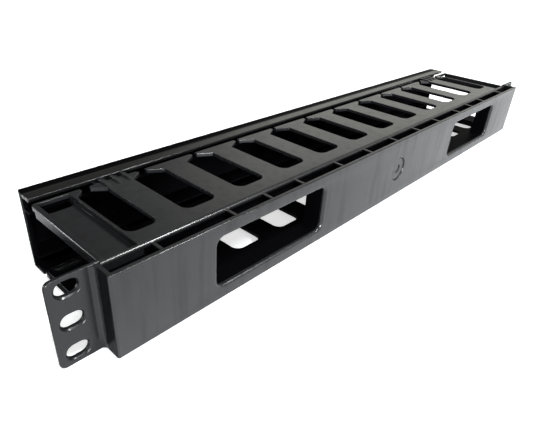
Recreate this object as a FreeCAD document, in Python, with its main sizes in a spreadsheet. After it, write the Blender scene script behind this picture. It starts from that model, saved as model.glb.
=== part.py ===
import FreeCAD, Part
import math
import os
import Sketcher

# Horizontal cable manager, one rack unit high, moulded in black plastic.
# Millimetres. +X runs along the nineteen inch width, +Z is up, the cover faces -Y.
# The origin is the centre of the four corner slots, on the face of the ears that
# lies against the rack's rails.

# Rack standard: overall width, the slots' distance from the ears' ends, one height unit,
# what the ears leave free of it, and the wider of the gaps between rail holes
overall_width = 482.0
slot_inset = 8.45
rack_unit = 44.45
unit_gap = 0.75
rail_hole_gap = 12.7

# Ears
ear_reach = 22.8
ear_thickness = 2.4
ear_corner = 3.0
ear_edge = 0.4
ear_front_edge = 1.4
ear_slot_length = 9.8
ear_slot_height = 6.8
ear_slot_edge = 0.8

# Finger duct in front of the ears
duct_drop = 1.15
duct_wall = 2.2
rear_wall = 2.4
rear_edge = 2.0
finger_reach = 61.5
finger_width = 15.0
slot_start = 11.0
slot_corner = 5.0
head_length = 7.1
head_lip = 2.2
mouth_gap = 3.2
slot_count = 5

# End slot and end tray
end_slot = 16.2
end_head = 5.0
tray_width = 15.6
tray_inner_wall = 1.3
tray_outer_wall = 2.6
tray_rear_rim = 1.6
tray_depth = 3.2
tray_floor = 2.0
tray_front_rim = 1.3
tray_window = 6.6
tray_corner = 4.0
tray_edge = 1.0
tray_front_corner = 2.5

# Latch on the tip of the first and last full finger
latch_width = 28.4
latch_corner = 2.0
tongue_width = 20.0
gusset_thickness = 1.8
gusset_spacing = 6.3
gusset_run = 7.9
gusset_slope = 2.9
gusset_nose = 1.5
gusset_count = 3

# Box behind the ears, with its cross ribs and two pass-through holes
box_reach = 3.2
box_drop = 0.45
box_depth = 10.8
box_wall = 2.2
box_corner = 1.6
box_edge = 0.7
box_root = 2.4
rib_thickness = 1.6
rib_spacing = 32.0
rib_drop = 1.1
end_cell = 27.4
hole_centre = 125.9
hole_length = 81.2
hole_height = 27.8
hole_corner = 4.5
hole_edge = 2.0
hole_rib_spacing = 25.5
tunnel_wall = 2.0
gate_ring = 16.8
gate_ring_depth = 0.5
gate_dimple = 6.4
gate_dimple_depth = 1.1

# Cover, nearly level with the ears' tops
cover_inset = 0.8
cover_drop = 0.05
cover_depth = 17.3
cover_wall = 1.95
cover_end_radius = 8.0
cover_edge_radius = 6.0
cover_rib_height = 12.3
cover_rib_thickness = 1.2
cover_rib_setback = 2.3
cover_gap = 3.5
running_clearance = 0.15
seat_clearance = 0.2


class Size:
    """A length that knows its value and how the sheet works it out."""

    def __init__(self, value, text):
        self.value = value
        self.text = text

    def combined(self, other, sign, value):
        return Size(value, "(%s %s %s)" % (self.text, sign, text_of(other)))

    def __add__(self, other):
        return self.combined(other, "+", self.value + value_of(other))

    def __sub__(self, other):
        return self.combined(other, "-", self.value - value_of(other))

    def __mul__(self, other):
        return self.combined(other, "*", self.value * value_of(other))

    def __truediv__(self, other):
        return self.combined(other, "/", self.value / value_of(other))

    def __neg__(self):
        return Size(-self.value, "(0 - %s)" % self.text)


def value_of(thing):
    return thing.value if isinstance(thing, Size) else thing


def text_of(thing):
    return thing.text if isinstance(thing, Size) else repr(thing)


# Decimal places to which coordinates are compared
PLACES = 5

DOC = FreeCAD.newDocument("cable_manager")
SHEET = DOC.addObject("Spreadsheet::Sheet", "sizes")
DRIVING = {name: number for name, number in globals().items() if isinstance(number, float)}

# Each driving size goes on the sheet, and from here on its name stands for its cell
for line, (name, number) in enumerate(DRIVING.items(), 1):
    SHEET.set("A%d" % line, name)
    SHEET.set("B%d" % line, str(number))
    SHEET.setAlias("B%d" % line, name)
    globals()[name] = Size(number, "<<sizes>>.%s" % name)

# Places worked out from the driving sizes
ZERO = Size(0.0, "0")
ear_half = overall_width / 2
ear_top = (rack_unit - unit_gap) / 2
rail_pitch = (rack_unit - rail_hole_gap) / 2
slot_middle = ear_half - slot_inset
duct_half = ear_half - ear_reach
duct_top = ear_top - duct_drop
tray_outer = duct_half - tray_outer_wall
tray_inner = tray_outer - tray_width
tray_side = tray_inner - tray_inner_wall
latch_side = tray_side - end_slot
latch_centre = latch_side - finger_width / 2
finger_pitch = latch_centre / slot_count
slot_width = finger_pitch - finger_width
head_start = finger_reach - head_length
head_end = finger_reach - head_lip
gusset_foot = finger_reach - gusset_run
tray_front = finger_reach - tray_front_rim
plate_under = duct_top - duct_wall
block_under = duct_top - tray_depth - tray_floor
box_half = duct_half + box_reach
box_top = ear_top - box_drop
end_rib = box_half - end_cell
cover_half = duct_half - cover_inset
cover_top = ear_top - cover_drop
cover_inside = cover_top - cover_wall
tongue_top = cover_inside - running_clearance
tongue_under = tongue_top - duct_wall
cover_back = finger_reach + cover_gap
cover_front = cover_back + cover_depth
tongue_reach = cover_front - cover_edge_radius - seat_clearance
rib_top = cover_rib_height + cover_rib_thickness


def plane(body, role):
    """The body's own origin plane or axis with this role."""
    return [item for item in body.Origin.OriginFeatures if item.Role == role][0]


def sketch_on(body, name, role, offset=ZERO):
    """An empty sketch on an origin plane, moved along the plane's normal."""
    sketch = body.newObject("Sketcher::SketchObject", name)
    sketch.AttachmentSupport = [(plane(body, role), "")]
    sketch.MapMode = "FlatFace"
    sketch.setExpression("AttachmentOffset.Base.z", offset.text)
    return sketch


def hold(sketch, constraint, size):
    """Add a sketch dimension and bind it to its size."""
    index = sketch.addConstraint(constraint)
    sketch.setExpression(".Constraints[%d]" % index, size.text)


def hold_place(sketch, kind, line, end, size):
    """Hold one coordinate of a line's end, measured from the sketch's origin."""
    if round(size.value, PLACES):
        hold(sketch, Sketcher.Constraint(kind, -1, 1, line, end, size.value), size)
        return
    axis = -2 if kind == "DistanceX" else -1
    sketch.addConstraint(Sketcher.Constraint("PointOnObject", line, end, axis))


def vector(corner):
    return FreeCAD.Vector(corner[0].value, corner[1].value, 0)


def add_arc(sketch, corner, before, after, radius):
    """A quarter round at a square corner; hands back its geometry index and its ends."""
    middle = before + after - corner
    start = before - middle
    stop = after - middle
    turns_left = (corner - before).cross(after - corner).z > 0
    first, last = (start, stop) if turns_left else (stop, start)
    begin = math.atan2(first.y, first.x)
    finish = math.atan2(last.y, last.x)
    if finish < begin:
        finish += 2 * math.pi
    circle = Part.Circle(middle, FreeCAD.Vector(0, 0, 1), radius.value)
    arc = sketch.addGeometry(Part.ArcOfCircle(circle, begin, finish), False)
    return arc, (1, 2) if turns_left else (2, 1)


def add_outline(sketch, corners):
    """A closed outline; each corner is (x, y) or (x, y, radius) at a square corner."""
    count = len(corners)
    points = [vector(corner) for corner in corners]
    radii = [corner[2] if len(corner) > 2 else None for corner in corners]

    def trimmed(index, toward):
        if radii[index] is None:
            return points[index]
        way = (points[toward] - points[index]).normalize()
        return points[index] + way * radii[index].value

    lines = []
    for index in range(count):
        following = (index + 1) % count
        edge = Part.LineSegment(trimmed(index, following), trimmed(following, index))
        lines.append(sketch.addGeometry(edge, False))

    for index in range(count):
        incoming = lines[index - 1]
        outgoing = lines[index]
        if radii[index] is None:
            sketch.addConstraint(Sketcher.Constraint("Coincident", incoming, 2, outgoing, 1))
            continue
        before = trimmed(index, index - 1)
        after = trimmed(index, (index + 1) % count)
        arc, ends = add_arc(sketch, points[index], before, after, radii[index])
        sketch.addConstraint(Sketcher.Constraint("Tangent", incoming, 2, arc, ends[0]))
        sketch.addConstraint(Sketcher.Constraint("Tangent", arc, ends[1], outgoing, 1))
        hold(sketch, Sketcher.Constraint("Radius", arc, radii[index].value), radii[index])

    upright = []
    level = []
    for index in range(count):
        following = (index + 1) % count
        step = points[following] - points[index]
        upright.append(round(step.x, PLACES) == 0)
        level.append(round(step.y, PLACES) == 0)
        if upright[index]:
            sketch.addConstraint(Sketcher.Constraint("Vertical", lines[index]))
            hold_place(sketch, "DistanceX", lines[index], 1, corners[index][0])
        elif level[index]:
            sketch.addConstraint(Sketcher.Constraint("Horizontal", lines[index]))
            hold_place(sketch, "DistanceY", lines[index], 1, corners[index][1])

    for index in range(count):
        if not (upright[index] or upright[index - 1]):
            hold_place(sketch, "DistanceX", lines[index], 1, corners[index][0])
        if not (level[index] or level[index - 1]):
            hold_place(sketch, "DistanceY", lines[index], 1, corners[index][1])
    return lines


def add_box(sketch, left, right, low, high):
    """A plain rectangle."""
    return add_outline(sketch, [(left, low), (right, low), (right, high), (left, high)])


def add_corner(sketch, x, y, radius, margin):
    """What is cut away to round the corner at (x, y), which has the part below and left of it."""
    reach = radius + margin
    add_outline(sketch, [
        (x - reach, y), (x, y, radius), (x, y - reach),
        (x + margin, y - reach), (x + margin, y + margin), (x - reach, y + margin)])


def add_circle(sketch, diameter):
    """A circle about the sketch's origin."""
    round_edge = Part.Circle(FreeCAD.Vector(0, 0, 0), FreeCAD.Vector(0, 0, 1), diameter.value / 2)
    circle = sketch.addGeometry(round_edge, False)
    sketch.addConstraint(Sketcher.Constraint("Coincident", circle, 3, -1, 1))
    hold(sketch, Sketcher.Constraint("Diameter", circle, diameter.value), diameter)


def add_obround(sketch, centre, length, height):
    """A slot with round ends on the sketch's horizontal axis."""
    radius = height.value / 2
    reach = length.value / 2 - radius
    left = FreeCAD.Vector(centre.value - reach, 0, 0)
    right = FreeCAD.Vector(centre.value + reach, 0, 0)
    rise = FreeCAD.Vector(0, radius, 0)
    normal = FreeCAD.Vector(0, 0, 1)
    quarter = math.pi / 2
    low = sketch.addGeometry(Part.LineSegment(left - rise, right - rise), False)
    cap = Part.ArcOfCircle(Part.Circle(right, normal, radius), -quarter, quarter)
    right_cap = sketch.addGeometry(cap, False)
    high = sketch.addGeometry(Part.LineSegment(right + rise, left + rise), False)
    cap = Part.ArcOfCircle(Part.Circle(left, normal, radius), quarter, 3 * quarter)
    left_cap = sketch.addGeometry(cap, False)
    sketch.addConstraint(Sketcher.Constraint("Tangent", low, 2, right_cap, 1))
    sketch.addConstraint(Sketcher.Constraint("Tangent", right_cap, 2, high, 1))
    sketch.addConstraint(Sketcher.Constraint("Tangent", high, 2, left_cap, 1))
    sketch.addConstraint(Sketcher.Constraint("Tangent", left_cap, 2, low, 1))
    sketch.addConstraint(Sketcher.Constraint("Horizontal", low))
    sketch.addConstraint(Sketcher.Constraint("PointOnObject", right_cap, 3, -1))
    hold(sketch, Sketcher.Constraint("Radius", right_cap, radius), height / 2)
    right_place = centre + (length - height) / 2
    left_place = centre - (length - height) / 2
    hold_place(sketch, "DistanceX", right_cap, 3, right_place)
    hold_place(sketch, "DistanceX", left_cap, 3, left_place)


def pad(body, name, sketch, length):
    """Grow a sketch along its plane's normal."""
    feature = body.newObject("PartDesign::Pad", name)
    feature.Profile = sketch
    feature.setExpression("Length", length.text)
    DOC.recompute()
    return feature


def pocket(body, name, sketch, length):
    """Cut a sketch away against its plane's normal, and make sure that it cuts."""
    before = body.Shape.Volume
    feature = body.newObject("PartDesign::Pocket", name)
    feature.Profile = sketch
    feature.setExpression("Length", length.text)
    DOC.recompute()
    assert body.Shape.Volume < before, name + " cuts nothing"
    return feature


def row(body, name, features, role, spacing, count):
    """Repeat features in a straight row."""
    pattern = body.newObject("PartDesign::LinearPattern", name)
    pattern.Originals = features
    pattern.Direction = (plane(body, role), [""])
    pattern.setExpression("Length", (spacing * (count - 1)).text)
    pattern.Occurrences = count
    body.Tip = pattern
    DOC.recompute()
    return pattern


def mirrored(body, name, role):
    """Mirror all that the body is so far and join it to itself."""
    twin = body.newObject("PartDesign::Mirrored", name)
    twin.TransformMode = "Whole shape"
    twin.MirrorPlane = (plane(body, role), [""])
    body.Tip = twin
    DOC.recompute()
    return twin


def eased(body, kind, name, amount, wanted):
    """Round or bevel the edges whose end points all answer to the wanted test."""
    base = body.Tip
    names = []
    for number, edge in enumerate(base.Shape.Edges, 1):
        if all(wanted(vertex.Point) for vertex in edge.Vertexes):
            names.append("Edge%d" % number)
    assert names, name + " finds no edge"
    feature = body.newObject("PartDesign::" + kind, name)
    feature.Base = (base, names)
    size_name = "Radius" if kind == "Fillet" else "Size"
    feature.setExpression(size_name, amount.text)
    body.Tip = feature
    DOC.recompute()
    assert "Invalid" not in feature.State and feature.Shape.isValid(), name + " fails"
    return feature


def near(value, size):
    """Whether a coordinate lies on a size, to the shape's own precision."""
    return round(value - size.value, PLACES) == 0


def add_rear_wall_and_ear(body):
    """The duct's rear wall, and the ear that carries on past its end."""
    wall = sketch_on(body, "rear_wall_outline", "XZ_Plane")
    add_box(wall, ZERO, duct_half, ZERO, duct_top)
    pad(body, "rear_wall_plate", wall, rear_wall)
    ear = sketch_on(body, "ear_outline", "XZ_Plane")
    add_outline(ear, [
        (tray_outer, ZERO), (ear_half, ZERO), (ear_half, ear_top, ear_corner),
        (duct_half, ear_top), (duct_half, duct_top), (tray_outer, duct_top)])
    pad(body, "ear_plate", ear, ear_thickness)


def add_finger_wall(body):
    """The top wall with its row of open slots, whose mouths the finger heads narrow."""
    wall = sketch_on(body, "finger_wall_outline", "XY_Plane", plate_under)
    add_outline(wall, [
        (ZERO, -finger_reach), (duct_half, -finger_reach, tray_front_corner),
        (duct_half, ZERO), (ZERO, ZERO)])
    pad(body, "finger_wall", wall, duct_wall)

    def rear_top_edge(point):
        return near(point.z, duct_top) and near(point.y, ZERO)

    eased(body, "Fillet", "rear_edge_round", rear_edge, rear_top_edge)

    slot = sketch_on(body, "slot_outline", "XY_Plane", duct_top)
    middle = finger_pitch / 2
    half = slot_width / 2
    mouth = mouth_gap / 2
    add_outline(slot, [
        (middle - half, -slot_start, slot_corner), (middle - half, -head_start),
        (middle - mouth, -head_end), (middle - mouth, -finger_reach),
        (middle + mouth, -finger_reach), (middle + mouth, -head_end),
        (middle + half, -head_start), (middle + half, -slot_start, slot_corner)])
    cut = pocket(body, "slot", slot, duct_wall)
    row(body, "slot_row", [cut], "X_Axis", finger_pitch, slot_count)

    last = sketch_on(body, "end_slot_outline", "XY_Plane", duct_top)
    add_outline(last, [
        (latch_side, -slot_start, slot_corner), (latch_side, -finger_reach),
        (tray_side - end_head, -finger_reach), (tray_side - end_head, -head_end),
        (tray_side, -head_start), (tray_side, -slot_start, slot_corner)])
    pocket(body, "end_slot_cut", last, duct_wall)


def add_end_tray(body):
    """The sunk tray at the end of the finger wall, open at its front."""
    block = sketch_on(body, "tray_block_outline", "XY_Plane", block_under)
    add_outline(block, [
        (tray_side, ZERO), (tray_side, -tray_front),
        (duct_half, -tray_front, tray_inner_wall + tray_outer_wall), (duct_half, ZERO)])
    pad(body, "tray_block", block, plate_under - block_under)
    recess = sketch_on(body, "tray_outline", "XY_Plane", duct_top)
    add_box(recess, tray_inner, tray_outer, -tray_front, -tray_rear_rim)
    pocket(body, "tray", recess, tray_depth)
    window = sketch_on(body, "tray_window_outline", "XY_Plane", duct_top)
    edge = -(tray_front - tray_window)
    add_outline(window, [
        (tray_inner, -tray_front), (tray_outer, -tray_front),
        (tray_outer, edge, tray_corner), (tray_inner, edge, tray_corner)])
    pocket(body, "tray_window_cut", window, duct_top - block_under)
    rim = sketch_on(body, "tray_edge_outline", "XZ_Plane", finger_reach)
    add_corner(rim, duct_half, duct_top, tray_edge, tray_edge)
    pocket(body, "tray_edge_cut", rim, finger_reach - ear_thickness)


def add_latch(body):
    """A wide head, a tongue below it and three gussets that fill the cover's groove."""
    relief = sketch_on(body, "latch_relief_outline", "XY_Plane", duct_top)
    shank = finger_width / 2
    add_box(relief, latch_centre - finger_pitch / 2, latch_centre - shank, -finger_reach, -head_start)
    pocket(body, "latch_relief", relief, duct_wall)

    head = sketch_on(body, "latch_head_outline", "XY_Plane", plate_under)
    half = latch_width / 2
    add_outline(head, [
        (latch_centre - shank, -head_start), (latch_centre + shank, -head_start),
        (latch_centre + half, -head_end), (latch_centre + half, -finger_reach, latch_corner),
        (latch_centre - half, -finger_reach, latch_corner), (latch_centre - half, -head_end)])
    pad(body, "latch_head", head, duct_wall)
    tongue = sketch_on(body, "tongue_outline", "XY_Plane", tongue_under)
    narrow = tongue_width / 2
    add_box(tongue, latch_centre - narrow, latch_centre + narrow, -tongue_reach, -head_end)
    pad(body, "tongue", tongue, duct_wall)

    first = latch_centre - gusset_spacing - gusset_thickness / 2
    gusset = sketch_on(body, "gusset_outline", "YZ_Plane", first)
    shelf = cover_top
    web_under = rib_top + running_clearance
    stop = cover_back - seat_clearance
    add_outline(gusset, [
        (-gusset_foot, plate_under), (-gusset_foot, duct_top),
        (-(gusset_foot + gusset_slope), shelf), (-stop, shelf), (-stop, tongue_top),
        (-tongue_reach, tongue_top), (-tongue_reach, web_under + gusset_nose),
        (-(tongue_reach - gusset_nose), web_under), (-stop, web_under),
        (-(gusset_foot + gusset_slope), plate_under)])
    rib = pad(body, "gusset", gusset, gusset_thickness)
    row(body, "gusset_row", [rib], "X_Axis", gusset_spacing, gusset_count)


def add_back_box(body):
    """The box behind the ears: panel, end wall, cross ribs, tunnel and gate mark."""
    inside = box_depth - box_wall
    sunk = -(ear_thickness / 2)
    plan = sketch_on(body, "box_plan", "XY_Plane")
    add_outline(plan, [
        (ZERO, inside), (box_half - box_wall, inside), (box_half - box_wall, sunk),
        (box_half + box_root * 2, sunk), (box_half + box_root * 2, ZERO),
        (box_half, ZERO, box_root), (box_half, box_depth, box_corner), (ZERO, box_depth)])
    pad(body, "box_shell", plan, box_top)
    edge = sketch_on(body, "panel_edge_outline", "YZ_Plane", box_half)
    add_corner(edge, box_depth, box_top, box_edge, box_wall)
    pocket(body, "panel_edge", edge, box_half)

    ribs = sketch_on(body, "rib_outlines", "XZ_Plane", -inside)
    half = rib_thickness / 2
    rib_reach = duct_top - rib_drop
    add_box(ribs, ZERO, half, ZERO, rib_reach)
    places = [rib_spacing, rib_spacing * 2, hole_centre - hole_rib_spacing,
              hole_centre, hole_centre + hole_rib_spacing, end_rib]
    for place in places:
        add_box(ribs, place - half, place + half, ZERO, rib_reach)
    pad(body, "ribs", ribs, inside + rear_wall / 2)

    tunnel = sketch_on(body, "tunnel_outline", "XZ_Plane", -inside)
    hole_half = hole_length / 2
    add_outline(tunnel, [
        (hole_centre - hole_half - tunnel_wall, ZERO),
        (hole_centre + hole_half + tunnel_wall, ZERO),
        (hole_centre + hole_half + tunnel_wall, hole_height / 2 + tunnel_wall,
         hole_corner + tunnel_wall),
        (hole_centre - hole_half - tunnel_wall, hole_height / 2 + tunnel_wall,
         hole_corner + tunnel_wall)])
    pad(body, "tunnel", tunnel, inside)

    hole = sketch_on(body, "hole_outline", "XZ_Plane", rear_wall)
    add_outline(hole, [
        (hole_centre - hole_half, ZERO), (hole_centre + hole_half, ZERO),
        (hole_centre + hole_half, hole_height / 2, hole_corner),
        (hole_centre - hole_half, hole_height / 2, hole_corner)])
    pocket(body, "hole", hole, rear_wall + box_depth)

    def hole_rim(point):
        beside = abs(point.x - hole_centre.value) < (hole_half + tunnel_wall).value
        below = point.z < (hole_height / 2 + tunnel_wall).value
        return near(point.y, box_depth) and beside and below

    eased(body, "Fillet", "hole_rim_round", hole_edge, hole_rim)

    ring = sketch_on(body, "gate_ring_outline", "XZ_Plane", -(box_depth - gate_ring_depth))
    add_circle(ring, gate_ring)
    pocket(body, "gate_ring_cut", ring, gate_ring_depth)
    dimple = sketch_on(body, "gate_dimple_outline", "XZ_Plane", -(box_depth - gate_dimple_depth))
    add_circle(dimple, gate_dimple)
    pocket(body, "gate_dimple_cut", dimple, gate_dimple_depth)


def add_ear_slots(body):
    """The rack slots: one at mid height, one a rail pitch above it."""
    slot = sketch_on(body, "ear_slot_outline", "XZ_Plane", ear_thickness)
    add_obround(slot, slot_middle, ear_slot_length, ear_slot_height)
    cut = pocket(body, "ear_slot", slot, ear_thickness)
    row(body, "ear_slot_row", [cut], "Z_Axis", rail_pitch, 2)


def ease_duct_edges(body):
    """The rounded edges that show as bright lines on the moulding."""
    def on_rim(point):
        return near(point.x, ear_half) or near(point.z, ear_top)

    def ear_rim_edge(point):
        return near(point.y, ZERO) and on_rim(point)

    def ear_front_rim_edge(point):
        return near(point.y, -ear_thickness) and on_rim(point)

    def ear_slot_rim(point):
        beside = abs(point.x - slot_middle.value) < (ear_slot_length / 2 + ear_slot_edge).value
        return near(point.y, ZERO) and beside and not on_rim(point)

    eased(body, "Chamfer", "ear_slot_bevel", ear_slot_edge, ear_slot_rim)
    eased(body, "Fillet", "ear_rim_round", ear_edge, ear_rim_edge)
    eased(body, "Fillet", "ear_front_round", ear_front_edge, ear_front_rim_edge)


def make_duct():
    """The moulded duct: a quarter of it is drawn and mirrored across both middles."""
    body = DOC.addObject("PartDesign::Body", "duct_body")
    body.Label = "Duct body"
    add_rear_wall_and_ear(body)
    add_finger_wall(body)
    add_end_tray(body)
    add_latch(body)
    add_back_box(body)
    add_ear_slots(body)
    ease_duct_edges(body)
    mirrored(body, "other_end", "YZ_Plane")
    mirrored(body, "lower_half", "XY_Plane")
    return body


def make_cover():
    """The push-on cover: an open-ended channel with rounded ends and two inner ribs."""
    body = DOC.addObject("PartDesign::Body", "cover")
    body.Label = "Cover"
    section = sketch_on(body, "cover_section", "YZ_Plane")
    add_outline(section, [
        (-cover_back, ZERO), (-cover_back, cover_top),
        (-cover_front, cover_top, cover_edge_radius), (-cover_front, ZERO)])
    pad(body, "cover_block", section, cover_half)

    corner = sketch_on(body, "cover_corner_outline", "XY_Plane", cover_top)
    turn = cover_end_radius + cover_wall
    add_outline(corner, [
        (cover_half - turn, -cover_front), (cover_half - turn, -(cover_front + cover_wall)),
        (cover_half + cover_wall, -(cover_front + cover_wall)),
        (cover_half + cover_wall, -(cover_front - turn)), (cover_half, -(cover_front - turn)),
        (cover_half, -cover_front, cover_end_radius)])
    pocket(body, "cover_corner_cut", corner, cover_top)

    hollow = sketch_on(body, "cover_hollow_outline", "XY_Plane", cover_inside)
    front_inside = cover_front - cover_wall
    wrap = -(cover_front - cover_end_radius)
    add_outline(hollow, [
        (ZERO, -cover_back), (ZERO, -front_inside),
        (cover_half - cover_wall, -front_inside, cover_end_radius - cover_wall),
        (cover_half - cover_wall, wrap + cover_wall), (cover_half, wrap + cover_wall),
        (cover_half, -cover_back)])
    pocket(body, "cover_hollow", hollow, cover_inside)

    def inner_front_edge(point):
        flat = near(point.z, cover_inside)
        return flat and (near(point.y, -front_inside) or near(point.y, wrap))

    eased(body, "Fillet", "cover_inner_edge_round", cover_edge_radius - cover_wall, inner_front_edge)

    rib = sketch_on(body, "cover_rib_outline", "XY_Plane", cover_rib_height)
    rib_front = cover_front - cover_wall / 2
    add_outline(rib, [
        (ZERO, -(cover_back + cover_rib_setback)), (ZERO, -rib_front),
        (cover_half, -rib_front, cover_end_radius - cover_wall / 2),
        (cover_half, -(cover_back + cover_rib_setback))])
    pad(body, "cover_rib", rib, cover_rib_thickness)

    mirrored(body, "cover_other_end", "YZ_Plane")
    mirrored(body, "cover_lower_half", "XY_Plane")
    return body


def write_part(body, node):
    """Check a finished body and write it out."""
    DOC.recompute()
    shape = body.Shape
    assert not shape.isNull() and shape.isValid() and len(shape.Solids) == 1, node
    box = shape.BoundBox
    print("%s: %d faces, volume %.0f, x %.2f..%.2f y %.2f..%.2f z %.2f..%.2f" % (
        node, len(shape.Faces), shape.Volume, box.XMin, box.XMax, box.YMin, box.YMax, box.ZMin, box.ZMax))
    shape.exportStep("parts/%s.step" % node)


DOC.recompute()
duct = make_duct()
cover = make_cover()

for item in DOC.Objects:
    if "Invalid" in item.State or "Error" in item.State:
        raise RuntimeError("%s is not sound" % item.Name)

os.makedirs("parts", exist_ok=True)
write_part(duct, "duct_body")
write_part(cover, "cover")
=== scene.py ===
# %% [markdown]
# A cable manager for a nineteen inch rack is two black mouldings: a duct with rows of fingers
# and a cover that pushes onto its front. The frame brings both in from the construction model
# at their real size, in metres, and nothing here moves or stretches them.

# %% Bring in the frame
import math

import bpy
from mathutils import Matrix, Vector


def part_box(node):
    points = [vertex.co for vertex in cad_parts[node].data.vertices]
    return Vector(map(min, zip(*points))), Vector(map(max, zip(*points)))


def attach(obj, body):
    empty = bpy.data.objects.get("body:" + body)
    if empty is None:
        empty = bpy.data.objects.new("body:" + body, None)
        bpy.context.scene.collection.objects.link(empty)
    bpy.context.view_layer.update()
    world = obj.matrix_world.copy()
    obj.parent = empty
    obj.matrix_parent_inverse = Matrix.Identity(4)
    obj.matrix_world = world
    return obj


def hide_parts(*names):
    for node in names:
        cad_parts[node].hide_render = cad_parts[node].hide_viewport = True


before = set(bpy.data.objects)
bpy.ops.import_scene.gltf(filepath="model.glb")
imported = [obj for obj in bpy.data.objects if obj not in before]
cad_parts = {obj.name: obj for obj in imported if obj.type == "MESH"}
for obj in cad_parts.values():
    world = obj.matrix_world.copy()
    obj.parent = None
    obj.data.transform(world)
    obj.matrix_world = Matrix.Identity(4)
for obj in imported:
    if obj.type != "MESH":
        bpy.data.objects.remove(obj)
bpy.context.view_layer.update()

print("the construction model brings", sorted(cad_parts))

# %% [markdown]
# The floor, the panel's marks and the cover's slopes have to stay on the object if a size
# changes, so the boxes that they start from are read off the frame.

# %% Sizes read off the frame
MM = 0.001
duct_low, duct_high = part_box("duct_body")
cover_low, cover_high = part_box("cover")
whole_low = Vector(map(min, duct_low, cover_low))
whole_high = Vector(map(max, duct_high, cover_high))
print("whole object, mm:", [round(side / MM, 1) for side in whole_high - whole_low])


# %% [markdown]
# Shader maths reads best as plain sums. The first class wraps one socket, and an expression on
# it adds the Math nodes that work it out. The last one holds a node tree, and every other kind
# of node comes from its one method.

# %% Sockets that can be reckoned with
class Wire:
    """One output socket of a node tree."""

    def __init__(self, tree, socket):
        self.tree = tree
        self.socket = socket

    def maths(self, operation, *values):
        settings = {"operation": operation}
        return self.tree.add("ShaderNodeMath", settings, dict(enumerate(values)))[0]

    def __add__(self, other):
        return self.maths("ADD", self, other)

    def __radd__(self, other):
        return self.maths("ADD", other, self)

    def __sub__(self, other):
        return self.maths("SUBTRACT", self, other)

    def __rsub__(self, other):
        return self.maths("SUBTRACT", other, self)

    def __mul__(self, other):
        return self.maths("MULTIPLY", self, other)

    def __rmul__(self, other):
        return self.maths("MULTIPLY", other, self)

    def __gt__(self, other):
        return self.maths("GREATER_THAN", self, other)

    def __lt__(self, other):
        return self.maths("LESS_THAN", self, other)

    def __abs__(self):
        return self.maths("ABSOLUTE", self)

    def root(self):
        return self.maths("SQRT", self)

    def fade(self, start, end, first, last, smooth=False):
        """Goes from first to last while this value goes from start to end."""
        settings = {"interpolation_type": "SMOOTHSTEP" if smooth else "LINEAR"}
        return self.tree.add("ShaderNodeMapRange", settings, {
            "Value": self, "From Min": start, "From Max": end,
            "To Min": first, "To Max": last})["Result"]


class Outputs:
    """The outputs of a new node, picked by name or number."""

    def __init__(self, tree, node):
        self.tree = tree
        self.node = node

    def __getitem__(self, key):
        return Wire(self.tree, self.node.outputs[key])


class Tree:
    """The nodes of a material or of the world."""

    def __init__(self, owner):
        owner.use_nodes = True
        self.nodes = owner.node_tree.nodes
        self.links = owner.node_tree.links
        self.nodes.clear()

    def add(self, kind, settings=None, sockets=None):
        """Adds any node: its settings first, then its sockets' values or links."""
        node = self.nodes.new(kind)
        for name, value in (settings or {}).items():
            if name == "stops":
                self.set_stops(node.color_ramp, value)
            else:
                setattr(node, name, value)
        for key, value in (sockets or {}).items():
            if isinstance(value, Wire):
                self.links.new(value.socket, node.inputs[key])
            else:
                node.inputs[key].default_value = value
        return Outputs(self, node)

    @staticmethod
    def set_stops(ramp, stops):
        """Gives a colour ramp its grey stops, each a place and a tone."""
        while len(ramp.elements) < len(stops):
            ramp.elements.new(1.0)
        for element, (place, tone) in zip(ramp.elements, stops):
            element.position = place
            element.color = (tone, tone, tone, 1.0)


# A Mix node for colours has its two colours and its result in these sockets.
MIX_FIRST, MIX_SECOND, MIX_RESULT = 6, 7, 2
print("sockets can be reckoned with")


# %% [markdown]
# Some faces of a moulding are duller than others. Such a place is a box in Object coordinates,
# and a mask is 1 in it. The object is alike left and right, and above and below, so a box is
# written once, for one quarter, and the mask mirrors it across X and Z.

# %% A mask for a box
FAR = 1.0


def within(axes, low, high):
    """1 where a point lies in a box that is mirrored across X and Z, and 0 elsewhere."""
    inside = 1.0
    for axis, start, end in zip("XYZ", low, high):
        place = axes[axis] if axis == "Y" else abs(axes[axis])
        inside = (place > start) * (place < end) * inside
    return inside


print("a mask reaches", FAR, "m where a box is open")


# %% [markdown]
# The back panel is thicker where ribs stand behind it, and thick plastic shrinks more as it
# cools, so the panel falls in by some hundredths of a millimetre over each rib. The ring round
# the gate, where the plastic came into the mould, has softly rounded sides. The rings and ribs
# themselves are in the mesh, and these slight falls are heights for a Bump node.

# %% Falls in the panel
RIB_PLACES = [place * MM for place in (0.0, 32.0, 64.0, 194.0)]
SINK_WIDTH = 2.5 * MM
SINK_DEPTH = 0.02 * MM
PANEL_SKIN = (duct_high.y - 0.6 * MM, duct_high.y - 0.2 * MM)
RING_RADIUS = 8.3 * MM
RING_WIDTH = 0.8 * MM
RING_DEPTH = 0.35 * MM


def panel_relief(axes):
    """The panel falls in a little over its ribs and along the gate ring."""
    across = abs(axes["X"])
    sinks = 0.0
    for rib in RIB_PLACES:
        sinks = sinks + abs(across - rib).fade(0.0, SINK_WIDTH, SINK_DEPTH, 0.0, smooth=True)
    radius = (axes["X"] * axes["X"] + axes["Z"] * axes["Z"]).root()
    groove = abs(radius - RING_RADIUS).fade(0.0, RING_WIDTH, RING_DEPTH, 0.0, smooth=True)
    return 0.0 - sinks * axes["Y"].fade(*PANEL_SKIN, 0.0, 1.0) - groove


print("sink marks at, mm:", [round(place / MM) for place in RIB_PLACES])

# %% [markdown]
# The cover's flanges fall toward its front, the front half of them more. The fall is a sum of
# straight slopes, each over its own stretch of Y, and it is too slight to show in the outline.

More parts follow.
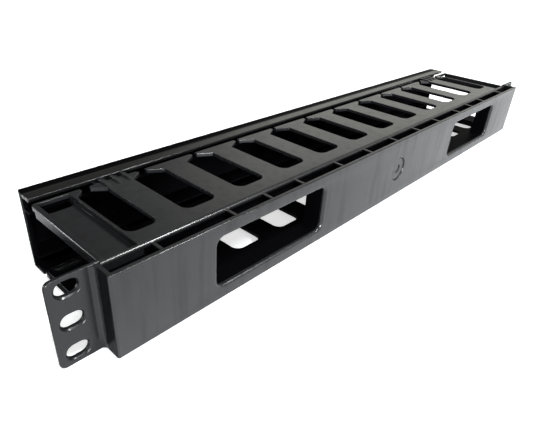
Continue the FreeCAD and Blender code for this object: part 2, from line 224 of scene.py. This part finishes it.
# %% The fall of the cover's flanges
FLANGE_SLOPES = [
    (-72.0 * MM, -70.5 * MM, 0.10),
    (-73.5 * MM, -72.0 * MM, 0.22),
    (cover_low.y, -73.5 * MM, 0.34)]


def flange_relief(axes):
    """The flanges fall toward the front in stretches of their own slope."""
    height = 0.0
    for start, end, slope in FLANGE_SLOPES:
        height = height + axes["Y"].fade(start, end, (start - end) * slope, 0.0)
    return height


print("flanges fall in", len(FLANGE_SLOPES), "slopes")

# %% [markdown]
# A mould is polished only where its faces show, so the inside of the duct, behind its fingers,
# and the inside of the cover are rougher, and they also get painted shade for the shade that
# falls inside them. The end walls of the boxed rear get nearly as much painted shade, and the
# ears a little, which darkens what they mirror.

# %% Where the duct is duller and painted in shade
# The hollows are rougher, and they also get painted shade for the shade that falls inside them.
DUCT_HOLLOWS = [
    [(-FAR, -FAR, -FAR), (198.6 * MM, 8.5 * MM, 18.6 * MM)],
    [(198.6 * MM, -FAR, -FAR), (218.0 * MM, 8.5 * MM, 15.6 * MM)]]
END_WALLS = [(220.9 * MM, 2.6 * MM, -FAR), (FAR, 10.0 * MM, FAR)]
# The end walls and the ears get painted shade that darkens what they mirror.
END_WALL_PAINTED_SHADE = 0.75
EARS = [(221.8 * MM, -FAR, -FAR), (FAR, 1.6 * MM, FAR)]
EAR_PAINTED_SHADE = 0.25


def duct_dullness_and_shade(axes):
    """Painted shade with a rougher finish: 1 in the hollows, less on end walls and ears, else
    0.
    """
    hollows = sum(within(axes, *box) for box in DUCT_HOLLOWS)
    end_walls = within(axes, *END_WALLS) * END_WALL_PAINTED_SHADE
    return hollows + (end_walls + within(axes, *EARS) * EAR_PAINTED_SHADE)


# The duct's duller places printed here also carry painted shade.
print("the duct is dull in", len(DUCT_HOLLOWS), "hollows, on its end walls and on its ears")

# %% [markdown]
# On the cover, the front half of each flange gets painted shade, for the shadowed floor that
# its rounding would mirror. The change is soft, and the painted band ends where the flange
# rounds into the front.

# %% Where the cover is duller and painted in shade
FLANGE_UNDERSIDE = 19.9 * MM
# The inside of the cover is rougher and gets painted shade, as the duct's hollows do.
COVER_HOLLOW = [(-FAR, -80.5 * MM, -FAR), (FAR, FAR, FLANGE_UNDERSIDE)]
BAND_START, BAND_FULL, BAND_FADING, BAND_END = [
    place * MM for place in (-70.8, -73.2, -80.0, -81.8)]
# The flange band is painted shade for the shadowed floor that its rounding mirrors.
BAND_PAINTED_SHADE = 0.85


def cover_dullness_and_shade(axes):
    """Painted shade with a rougher finish: 1 in the hollow, less on the flange fronts, else 0.
    """
    on_flange = abs(axes["Z"]) > FLANGE_UNDERSIDE
    rise = axes["Y"].fade(BAND_FULL, BAND_START, BAND_PAINTED_SHADE, 0.0, smooth=True)
    fall = axes["Y"].fade(BAND_END, BAND_FADING, 0.0, 1.0, smooth=True)
    return within(axes, *COVER_HOLLOW) + rise * fall * on_flange


# The band printed here is painted shade on the flange fronts.
print("the cover's dull band is", round((BAND_START - BAND_END) / MM, 1), "mm wide")

# %% [markdown]
# The plastic is a black ABS with a half gloss. Its own colour is very dark, and what the eye
# sees is mostly the room in its skin: faces seen at a low angle mirror far more than faces seen
# straight on. So the material keeps a dark base and a true index of refraction, and the light
# does the rest. The skin of a moulding is never quite even, which a slow noise in the roughness
# and a fine grain in the normal give, and faint streaks show how the plastic flowed. Moulded
# edges are never sharp either: the Bevel node turns the normal within a fraction of a
# millimetre of every edge, and that draws the thin bright lines along fingers and ribs.

# %% The moulded plastic
PLASTIC_INDEX = 1.5
CLOUD_SIZE = 40.0 * MM
CLOUD_DETAIL = 3.0
CLOUD_ROUGHNESS = 0.08
CLOUD_DARKEST = 0.92
CLOUD_SHADE = 0.16
GRAIN_SIZE = 0.5 * MM
GRAIN_DETAIL = 2.0
GRAIN_ROUGHNESS = 0.06
GRAIN_HEIGHT = 0.004 * MM
EVEN_NOISE = 0.5
BEVEL_SAMPLES = 8
STREAK_SCALE = (0.22, 0.22, 0.025)
STREAK_DETAIL = 2.0
STREAK_RANGE = (0.45, 0.75)
STREAK_DULLNESS = 0.17
# The next tone and the near-zero specular paint shade where a mask asks for it.
DULL_SHADED_TONE = (0.0015, 0.0015, 0.0020, 1.0)
DULL_ROUGHNESS = 0.45
SHADED_SPECULAR = 0.01


def noise(tree, place, size, detail):
    """A noise with spots of about the given size."""
    return tree.add("ShaderNodeTexNoise", sockets={
        "Vector": place, "Scale": 1 / size, "Detail": detail})["Fac"]


def plastic(name, tone, gloss, rounding, relief, dullness_and_shade):
    """A black moulded plastic with rounded edges, relief falls and masked painted shade."""
    material = bpy.data.materials.new(name)
    tree = Tree(material)
    place = tree.add("ShaderNodeTexCoord")["Object"]
    axes = tree.add("ShaderNodeSeparateXYZ", sockets={"Vector": place})
    clouds = noise(tree, place, CLOUD_SIZE, CLOUD_DETAIL)
    grain = noise(tree, place, GRAIN_SIZE, GRAIN_DETAIL)

    cloudy = gloss + (clouds - EVEN_NOISE) * CLOUD_ROUGHNESS
    roughness = cloudy + (grain - EVEN_NOISE) * GRAIN_ROUGHNESS
    shade = CLOUD_DARKEST + clouds * CLOUD_SHADE
    shades = tree.add("ShaderNodeCombineColor", sockets={
        "Red": shade, "Green": shade, "Blue": shade})["Color"]
    colour = tree.add("ShaderNodeMix", {"data_type": "RGBA", "blend_type": "MULTIPLY"}, {
        "Factor": 1.0, MIX_FIRST: tone, MIX_SECOND: shades})[MIX_RESULT]

    rounded = tree.add("ShaderNodeBevel", {"samples": BEVEL_SAMPLES}, {
        "Radius": rounding})["Normal"]
    normal = tree.add("ShaderNodeBump", sockets={
        "Strength": 1.0, "Distance": 1.0, "Height": grain * GRAIN_HEIGHT + relief(axes),
        "Normal": rounded})["Normal"]

    polished = tree.add("ShaderNodeBsdfPrincipled", sockets={
        "Base Color": colour, "Roughness": roughness, "IOR": PLASTIC_INDEX, "Normal": normal})
    # The second shader is painted shade: near black, rougher, with almost no reflection.
    dull_and_shaded = tree.add("ShaderNodeBsdfPrincipled", sockets={
        "Base Color": DULL_SHADED_TONE, "Roughness": DULL_ROUGHNESS,
        "Specular IOR Level": SHADED_SPECULAR, "Normal": normal})

    stretched = tree.add("ShaderNodeMapping", sockets={"Vector": place, "Scale": STREAK_SCALE})
    streaks = noise(tree, stretched["Vector"], MM, STREAK_DETAIL)
    streaked = streaks.fade(*STREAK_RANGE, 0.0, STREAK_DULLNESS)
    both = tree.add("ShaderNodeMixShader", sockets={
        0: streaked.maths("MAXIMUM", dullness_and_shade(axes), streaked),
        1: polished["BSDF"], 2: dull_and_shaded["BSDF"]})
    tree.add("ShaderNodeOutputMaterial", sockets={"Surface": both["Shader"]})
    print(name, "has", len(tree.nodes), "nodes")
    return material


# %% [markdown]
# Both mouldings are the same plastic from two moulds. The cover's is a shade darker and a
# little smoother, and its edges are rounder.

# %% The two plastics
DUCT_TONE = (0.010, 0.0105, 0.012, 1.0)
DUCT_GLOSS = 0.22
DUCT_ROUNDING = 0.6 * MM
COVER_TONE = (0.0030, 0.0031, 0.0035, 1.0)
COVER_GLOSS = 0.20
COVER_ROUNDING = 0.9 * MM

duct_plastic = plastic(
    "duct plastic", DUCT_TONE, DUCT_GLOSS, DUCT_ROUNDING, panel_relief, duct_dullness_and_shade)
cover_plastic = plastic(
    "cover plastic", COVER_TONE, COVER_GLOSS, COVER_ROUNDING, flange_relief, cover_dullness_and_shade)

# %% [markdown]
# A part from a construction model arrives as loose triangles. A copy whose doubled corners are
# merged can be shaded smooth across its rounded parts and stay crisp at its edges.

# %% Merge and smooth each moulding
SMOOTH_LIMIT = math.radians(32)
MERGE_DISTANCE = 0.002 * MM


def moulding(node, name, body, material):
    """A merged, smoothly shaded copy of a construction node."""
    bpy.ops.object.select_all(action="DESELECT")
    piece = bpy.data.objects.new(name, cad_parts[node].data.copy())
    bpy.context.scene.collection.objects.link(piece)
    bpy.context.view_layer.objects.active = piece
    piece.select_set(True)
    bpy.ops.object.mode_set(mode="EDIT")
    bpy.ops.mesh.select_all(action="SELECT")
    bpy.ops.mesh.customdata_custom_splitnormals_clear()
    bpy.ops.mesh.remove_doubles(threshold=MERGE_DISTANCE)
    bpy.ops.object.mode_set(mode="OBJECT")
    bpy.ops.object.shade_smooth_by_angle(angle=SMOOTH_LIMIT)
    piece.data.materials.clear()
    piece.data.materials.append(material)
    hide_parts(node)
    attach(piece, body)
    print(name, "has", len(piece.data.polygons), "faces")


moulding("duct_body", "duct_moulding", "duct", duct_plastic)
moulding("cover", "cover_moulding", "cover", cover_plastic)

# %% [markdown]
# The floor is a wide pale sheet just under the object, and a little glow of its own makes it
# white for the camera. What a glossy face mirrors of it is another matter. Black plastic shows
# every bright place round it, so two strips of the floor are dark in a mirror: one under the
# front of the object, and one that starts about 0.2 m in front of it. A ramp along Y says
# where.

# %% Floor
FLOOR_SIZE = 30.0
FLOOR_DROP = 0.3 * MM
FLOOR_TONE = (0.83, 0.855, 0.88, 1.0)
FLOOR_GLOW = 0.60
MIRRORED_GLOW = 0.05
DARK_GLOW = 0.01
RAMP_MIDDLE = 0.5
SHADE_STOPS = [
    (0.0, 1.0), (0.17, 1.0), (0.23, 0.15), (0.38, 0.15), (0.41, 1.0), (0.47, 1.0), (0.50, 0.0)]

bpy.ops.object.select_all(action="DESELECT")
bpy.ops.mesh.primitive_plane_add(
    size=FLOOR_SIZE, location=(0.0, 0.0, whole_low.z - FLOOR_DROP))
floor = bpy.context.object
floor.name = "floor"
floor_material = bpy.data.materials.new("floor")
tree = Tree(floor_material)
path = tree.add("ShaderNodeLightPath")
place = tree.add("ShaderNodeTexCoord")["Object"]
depth = tree.add("ShaderNodeSeparateXYZ", sockets={"Vector": place})["Y"]
shaded = tree.add("ShaderNodeValToRGB", {"stops": SHADE_STOPS}, {
    "Fac": depth + RAMP_MIDDLE})["Color"]
paper = tree.add("ShaderNodeBsdfDiffuse", sockets={"Color": FLOOR_TONE})
glow = tree.add("ShaderNodeEmission", sockets={
    "Strength": path["Is Camera Ray"] * FLOOR_GLOW + path["Is Glossy Ray"] * MIRRORED_GLOW})
pale = tree.add("ShaderNodeAddShader", sockets={0: paper["BSDF"], 1: glow["Emission"]})
dark = tree.add("ShaderNodeEmission", sockets={"Strength": DARK_GLOW})
shown = tree.add("ShaderNodeMixShader", sockets={
    0: path["Is Glossy Ray"] * shaded, 1: pale["Shader"], 2: dark["Emission"]})
tree.add("ShaderNodeOutputMaterial", sockets={"Surface": shown["Shader"]})
floor.data.materials.append(floor_material)
print("the floor lies at, mm:", round(floor.location.z / MM, 2))

# %% [markdown]
# The room is bright from the horizon up to a third of the way and dimmer overhead, as round a
# photographer's bench. A face seen along its length mirrors the bright part, and a face seen
# from above the dim one. On the cover's side the room is dim, and dark down low. The camera
# itself sees the room as white paper.

# %% Room
ROOM_STOPS = [(0.0, 1.0), (0.42, 1.0), (0.48, 0.80), (0.56, 0.50), (1.0, 0.30)]
ROOM_TONE = (1.0, 1.0, 0.93, 1.0)
WHITE = (1.0, 1.0, 1.0, 1.0)
DIM_SPAN = (-0.78, -0.60)
DIM_LEVEL = 0.16
DARK_SPAN = (-0.40, -0.25)
DARK_LEVEL = 0.05
LOW_SPAN = (0.08, 0.20)

world = bpy.data.worlds.new("studio")
bpy.context.scene.world = world
tree = Tree(world)
way = tree.add("ShaderNodeTexCoord")["Generated"]
axes = tree.add("ShaderNodeSeparateXYZ", sockets={"Vector": way})
by_height = tree.add("ShaderNodeValToRGB", {"stops": ROOM_STOPS}, {"Fac": axes["Z"]})["Color"]
dimmed = axes["Y"].fade(*DIM_SPAN, DIM_LEVEL, 1.0)
darkness = axes["Y"].fade(*DARK_SPAN, 1.0 - DARK_LEVEL, 0.0)
low = axes["Z"].fade(*LOW_SPAN, 1.0, 0.0)
light = by_height * dimmed * (1 - darkness * low)
seen = tree.add("ShaderNodeLightPath")["Is Camera Ray"]
colour = tree.add("ShaderNodeMix", {"data_type": "RGBA"}, {
    "Factor": seen, MIX_FIRST: ROOM_TONE, MIX_SECOND: WHITE})[MIX_RESULT]
room = tree.add("ShaderNodeBackground", sockets={
    "Color": colour, "Strength": light + seen * (1 - light)})
tree.add("ShaderNodeOutputWorld", sockets={"Surface": room["Background"]})
print("the room has", len(tree.nodes), "nodes")

# %% [markdown]
# Four soft boxes light the object. The key lamp stands low behind the camera and gives the
# panel its level. The others stand where a rounded edge mirrors them into the camera: one above
# the far end for the long edges, a weak one low beyond the cover for the edges across the
# object, and a wide one overhead for the bevelled finger heads. Seen in a rounding a fraction
# of a millimetre wide, a lamp has to be small and strong to draw a line, and its distance keeps
# the level on the faces plain.

# %% Lamps
LAMPS = [
    # name, the way it stands in, distance, width and height, radiance
    ("key_lamp", (0.40, 0.92, 0.12), 3.0, (0.6, 0.6), 110.0),
    ("long_edge_lamp", (-0.40, 0.57, 0.72), 2.5, (0.45, 0.35), 95.0),
    ("short_edge_lamp", (0.60, -0.80, 0.04), 2.5, (0.30, 0.30), 42.0),
    ("head_lamp", (0.02, 0.52, 0.85), 2.5, (1.2, 0.22), 45.0)]


def soft_box(name, way, distance, size, radiance):
    """A lamp, size metres wide and high, that looks at the object from the given way."""
    width, height = size
    lamp = bpy.data.lights.new(name, "AREA")
    lamp.shape = "RECTANGLE"
    lamp.size, lamp.size_y = width, height
    lamp.energy = radiance * math.pi * width * height
    holder = bpy.data.objects.new(name, lamp)
    bpy.context.scene.collection.objects.link(holder)
    way = Vector(way).normalized()
    turn = way.to_track_quat("Z", "Y").to_matrix().to_4x4()
    holder.matrix_world = Matrix.Translation(way * distance) @ turn
    level = radiance * width * height / distance ** 2 / math.pi
    print(name, "lights a facing white sheet to", round(level, 2))


for lamp_facts in LAMPS:
    soft_box(*lamp_facts)

# %% [markdown]
# The photograph looks down on the back of the object from above its nearer end. The camera's
# place, its two directions and its lens come from a fit to points of the object whose sizes
# are known.

# %% Camera
SENSOR_WIDTH = 36.0
LENS = 32.1773
CAMERA_PLACE = Vector((0.28824, 0.14524, 0.13335))
FORWARD = Vector((-0.648353, -0.567486, -0.507541))
RIGHT = Vector((-0.682516, 0.728630, 0.057186))

camera_data = bpy.data.cameras.new("photo_view")
camera_data.sensor_width = SENSOR_WIDTH
camera_data.lens = LENS
camera = bpy.data.objects.new("photo_view", camera_data)
bpy.context.scene.collection.objects.link(camera)
turn = Matrix((RIGHT, RIGHT.cross(FORWARD), -FORWARD)).transposed().to_4x4()
camera.matrix_world = Matrix.Translation(CAMERA_PLACE) @ turn
bpy.context.scene.camera = camera
bpy.context.scene.view_settings.view_transform = "Standard"
print("the camera stands", round(CAMERA_PLACE.length, 2), "m from the middle of the ears")
